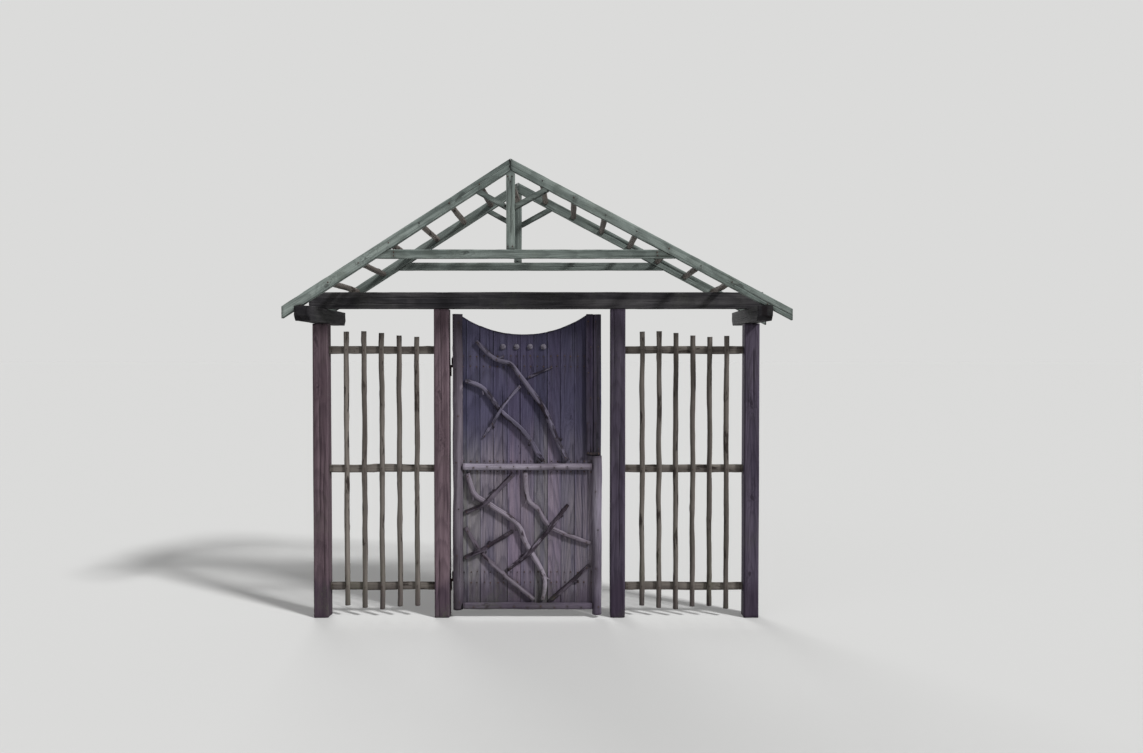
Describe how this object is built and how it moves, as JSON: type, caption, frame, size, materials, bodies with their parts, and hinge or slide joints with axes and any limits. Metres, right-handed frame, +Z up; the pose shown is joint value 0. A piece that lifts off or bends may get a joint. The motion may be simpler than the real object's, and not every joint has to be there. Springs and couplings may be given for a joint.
{
  "type": "rustic arbour gate with a moon-cut leaf",
  "caption": "Timber arbour gateway under a small open gable, with a boarded leaf whose top dips in a moon cut and whose face carries bare branches.",
  "frame": {"origin": "centre of the hinge post's foot, at ground level", "axes": "+X along the gateway from the hinge post to the latch post, +Y through it, away from the leaf's decorated face, +Z up"},
  "size_m": [2.98, 0.835, 2.78],
  "materials": {
    "post_timber": "weathered",
    "header_timber": "weathered",
    "roof_timber": "weathered",
    "trellis_pole": "weathered",
    "leaf_board": "weathered",
    "leaf_stile": "weathered",
    "leaf_log": "weathered",
    "bare_branch": "weathered",
    "peg": "worn",
    "iron": "rusted"
  },
  "bodies": {
    "arbour": {"hinge_post": "post_timber", "latch_post": "post_timber", "outer_post_left": "post_timber", "outer_post_right": "post_timber", "cross_arm_left": "header_timber", "cross_arm_right": "header_timber", "header": "header_timber", "front_rafter_left": "roof_timber", "front_rafter_right": "roof_timber", "rear_rafter_left": "roof_timber", "rear_rafter_right": "roof_timber", "front_collar_tie": "roof_timber", "rear_collar_tie": "roof_timber", "front_king_post": "roof_timber", "rear_king_post": "roof_timber", "front_struts": "roof_timber", "rear_struts": "roof_timber", "ridge_pole": "trellis_pole", "roof_rungs": "trellis_pole", "trellis_rails_left": "trellis_pole", "trellis_stakes_left": "trellis_pole", "trellis_rails_right": "trellis_pole", "trellis_stakes_right": "trellis_pole", "hinge_pintles": "iron"},
    "leaf": {"leaf_boards": "leaf_board", "hinge_stile": "leaf_stile", "latch_stile": "leaf_stile", "latch_log": "leaf_log", "mid_rail": "leaf_stile", "bottom_rail": "leaf_stile", "back_ledges": "leaf_board", "strap_hinges": "iron", "latch_bar": "iron", "moon_pegs": "peg", "upper_branch_a": "bare_branch", "upper_branch_b": "bare_branch", "upper_branch_c": "bare_branch", "upper_twig": "bare_branch", "lower_branch_a": "bare_branch", "lower_branch_b": "bare_branch", "lower_branch_c": "bare_branch", "lower_branch_d": "bare_branch", "lower_branch_e": "bare_branch", "lower_branch_f": "bare_branch", "lower_branch_g": "bare_branch"}
  },
  "joints": [
    {"name": "leaf_hinge", "type": "hinge", "parent": "arbour", "child": "leaf", "pos_m": [0.0625, 0.037, 0], "axis": [0, 0, 1], "range_deg": [0, 100]}
  ]
}
